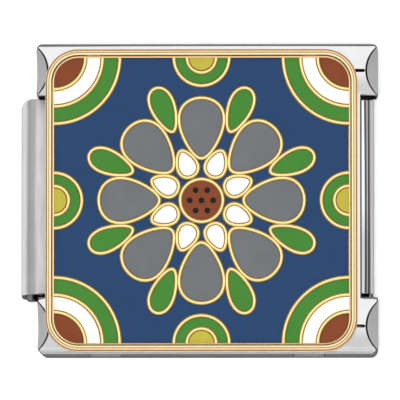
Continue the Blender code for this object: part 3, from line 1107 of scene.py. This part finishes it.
def ground():
    """The blue ground, one pour of enamel that fills the tray."""
    levels = [(-RIM_WIDTH - GAP, ENAMEL_BOTTOM)]
    levels += [(-RIM_WIDTH - inward, GROUND_TOP + rise) for inward, rise in GROUND_EDGE]
    obj = stacked(levels, tray_outline)
    return finish(obj, "enamel_ground", "case", ENAMELS["blue"], ["enamel_panel"])


def cell(outline, top):
    """One cell's pour of enamel, stoned level a hair over the ground."""
    return loft([on_face(outline, level) for level in (CELL_FOOT, top)])


def wire(path, closed=True):
    """A flat gilt wire, its crest eased, stood on edge along a path."""
    half = WIRE_WIDTH / 2
    crest = [(half * share, WIRE_TOP - depth) for share, depth in WIRE_CREST]
    section = [(-half, WIRE_FOOT)] + [(-out, z) for out, z in crest] + crest[::-1] + [(half, WIRE_FOOT)]
    rings = []
    for (a, b), normal in zip(path, normals(path, closed)):
        rings.append([
            (TRAY_CENTRE.x + a + normal.x * out, TRAY_CENTRE.y + b + normal.y * out, z)
            for out, z in section
        ])
    return loft(rings, closed)


def rosette():
    """The rosette's cells: outlines by colour, in the field's own plane."""
    cells = {colour: [] for colour in COLOURS}
    cells["brown"].append(circle((0, 0), ROSETTE_EYE))
    for turn in range(ROSETTE_TURNS):
        angle = 360 / ROSETTE_TURNS * turn
        for colour, inner, outer, half_width, swell, steps, offset in ROSETTE_LEAVES:
            leaf = leaf_outline(inner, outer, half_width, swell, steps)
            cells[colour].append(turned(leaf, angle + offset))
    return cells


def ring_cell(centre, inner, outer, start, sweep, steps):
    """A part of a ring round centre, drawn in to the field; a disc's sector if inner is 0."""
    outline = arc(centre, outer, start, start + sweep, steps)
    last, first = outline[-1], outline[0]
    if inner:
        outline += arc(centre, inner, start + sweep, start, steps)
    elif sweep < 180:
        outline += run(last, centre, 16)[1:] + run(centre, first, 16)
    return held_in_field(outline)


def ring_wire(centre, radius, start, sweep, steps):
    """The path of the wire along a ring, its ends run into the rim."""
    reach = math.degrees(WIRE_INTO_RIM / radius)
    return arc(centre, radius, start - reach, start + sweep + reach, steps)


def corner_fans():
    """Quarter rings in the four corners: lists of (colour, outline) and of paths for the wires."""
    cells, paths = [], []
    for quarter, (side_x, side_y) in enumerate(QUARTERS):
        corner = (side_x * FIELD_HALF[0], side_y * FIELD_HALF[1])
        start = 180 + 90 * quarter
        for colour, inner, outer in CORNER_RINGS:
            cells.append((colour, ring_cell(corner, inner, outer, start, 90, 32)))
            paths.append(ring_wire(corner, outer, start, 90, 36))
    return cells, paths


def side_buds():
    """Half rings at the middle of each side, listed in the same way."""
    cells, paths = [], []
    for quarter in range(4):
        middle = turned([(FIELD_HALF[quarter % 2], 0)], 90 * quarter)[0]
        start = 90 + 90 * quarter
        for colour, inner, outer in SIDE_RINGS:
            cells.append((colour, ring_cell(middle, inner, outer, start, 180, 40)))
            paths.append(ring_wire(middle, outer, start, 180, 44))
    return cells, paths


def enamel_cells():
    """Every coloured cell, one piece for each colour, and all the wires as one piece."""
    cells = rosette()
    wires = [wire(outline) for outlines in cells.values() for outline in outlines]
    for edge_cells, paths in (corner_fans(), side_buds()):
        for colour, outline in edge_cells:
            cells[colour].append(outline)
        wires += [wire(path, closed=False) for path in paths]
    seeds = [turned([(SEED_RING, 0)], 360 / SEEDS * turn)[0] for turn in range(SEEDS)] + [(0, 0)]
    cells["black"] += [circle(middle, SEED_RADIUS, 24) for middle in seeds]
    for colour, outlines in cells.items():
        top = CELL_TOP + (SEED_RISE if colour == "black" else 0)
        obj = joined([cell(outline, top) for outline in outlines])
        finish(obj, "enamel_" + colour, "case", ENAMELS[colour])
    finish(joined(wires), "gilt_wires", "case", WIRE_GILT, sharp=60)


# --- Studio ---
def floor():
    """The white board that the link lies on."""
    outline = rounded_box(FLOOR_HALF, FLOOR_HALF, FLOOR_CORNER)
    obj = stacked(((0, -FLOOR_THICK), (0, 0)), lambda grow: outline)
    obj.name = "floor"
    obj.data.materials.append(pale_paper())


def softbox(name, place, size, radiance):
    """A soft panel that faces the link."""
    light = bpy.data.lights.new(name, "AREA")
    light.shape = "RECTANGLE"
    light.size, light.size_y = (side * MM for side in size)
    light.energy = radiance * math.pi * light.size * light.size_y
    obj = bpy.data.objects.new(name, light)
    obj.location = Vector(place) * MM
    obj.rotation_euler = (-obj.location).to_track_quat("-Z", "Y").to_euler()
    bpy.context.scene.collection.objects.link(obj)
    return obj


def studio_light():
    """A panel overhead, a little to the near side, that fills shadows and shows in no reflection."""
    fill = softbox("overhead_fill", FILL_PLACE, FILL_SIZE, FILL_RADIANCE)
    fill.visible_glossy = False


def light_ramp(tree, value, stops):
    """Light read off stops of (value, radiance)."""
    start, end = stops[0][0], stops[-1][0]
    ramp = add(tree, "ShaderNodeValToRGB", {"Fac": mapped(tree, value, start, end)})
    steps = ramp.color_ramp.elements
    while len(steps) < len(stops):
        steps.new(1.0)
    brightest = max(radiance for _, radiance in stops)
    for step, (place, radiance) in zip(steps, stops):
        level = radiance / brightest
        step.position = (place - start) / (end - start)
        step.color = (level, level, level, 1)
    return product(tree, ramp.outputs["Color"], brightest)


def room():
    """A white room with a round soft light overhead, ringed by dark and pale bands.

    Polished metal shows the bands as the thin lines along its curves. The light dips in a narrow
    stripe just to the near side of overhead, so that crowns shade off across the band.
    """
    world = bpy.data.worlds.new("studio")
    bpy.context.scene.world = world
    world.use_nodes = True
    tree = world.node_tree
    direction = add(tree, "ShaderNodeTexCoord").outputs["Generated"]
    parts = add(tree, "ShaderNodeSeparateXYZ", {0: direction}).outputs
    tilt = add(tree, "ShaderNodeMath", {0: parts["Z"]}, operation="ARCCOSINE").outputs[0]
    degrees = add(tree, "ShaderNodeMath", {0: tilt}, operation="DEGREES").outputs[0]
    height = light_ramp(tree, degrees, ROOM_BANDS)
    across = light_ramp(tree, parts["Y"], ROOM_ACROSS)
    white = {"Color": (1, 1, 1, 1), "Strength": product(tree, height, across)}
    set_inputs(tree, tree.nodes["Background"], white)


def camera():
    """From above, a little from the -Y side; its frame is as wide as the link and a margin."""
    low, high = (corner / MM for corner in CAD_BOX)
    aim_x, aim_y, aim_z = CAMERA_AIM
    target = Vector(((low.x + high.x) / 2 + aim_x, (low.y + high.y) / 2 + aim_y, high.z + aim_z))
    lean_x, lean_y = (math.radians(lean) for lean in CAMERA_LEAN)
    away = Vector((math.sin(lean_x), -math.sin(lean_y), 1)).normalized()
    lens = bpy.data.cameras.new("camera")
    lens.lens = lens.sensor_width * CAMERA_DISTANCE / FRAME_WIDTH
    lens.clip_start = 0.001
    obj = bpy.data.objects.new("camera", lens)
    right = Vector((0, 1, 0)).cross(away).normalized()
    turn = Matrix((right, away.cross(right), away)).transposed()
    obj.matrix_world = Matrix.LocRotScale((target + away * CAMERA_DISTANCE) * MM, turn.to_quaternion(), None)
    bpy.context.scene.collection.objects.link(obj)
    bpy.context.scene.camera = obj
    bpy.context.scene.view_settings.view_transform = "Standard"


STEEL = polished_stainless_steel()
WALL_STEEL = sheared_steel_with_painted_light()
SATIN_STEEL = satin_stainless_steel()
HOOK_STEEL = rolled_stainless_steel()
DARK_STEEL = painted_shade_steel()
SPRING_STEEL = bright_spring_steel()
GILT = gold_plated_brass("rose", "#C4A277", "#CAA87D")
# a paler, yellower gold for the tray's bead: a painted highlight
BEAD_HIGHLIGHT_GILT = gold_plated_brass("pale", "#C6B78F", "#CBBC94")
WIRE_GILT = gold_plated_brass("yellow", "#CFB274", "#D4B87A")
ENAMEL_SHADES = {
    "blue": ("#183A62", "#1B3D67"),
    "grey": ("#66696C", "#6B6E71"),
    "green": ("#3B7C29", "#3F812D"),
    "lime": ("#B7AB3A", "#BDB13F"),
    "brown": ("#7B3B1C", "#814020"),
    "white": ("#F4F4F2", "#F8F8F6"),
    "black": ("#070708", "#0C0C0D"),
}
ENAMELS = {colour: fired_enamel(colour, *pair) for colour, pair in ENAMEL_SHADES.items()}

upper_case()
lower_case()
tongue()
# the hem in the grey wall steel and the web near black: painted shade in the roll's open end
roll_web("roll_hem", HEM_LEFT, HEM_RIGHT, HEM_CORNER, WALL_STEEL)
roll_web("roll_web", WEB_LEFT, WEB_RIGHT, WEB_CORNER, DARK_STEEL)
for staple_end in ("left", "right"):
    for staple_side in ("near", "far"):
        staple(f"staple_{staple_side}_{staple_end}")
hook()
hinge_pin()
leaf_spring()
face_tray()
ground()
enamel_cells()
floor()
room()
studio_light()
camera()
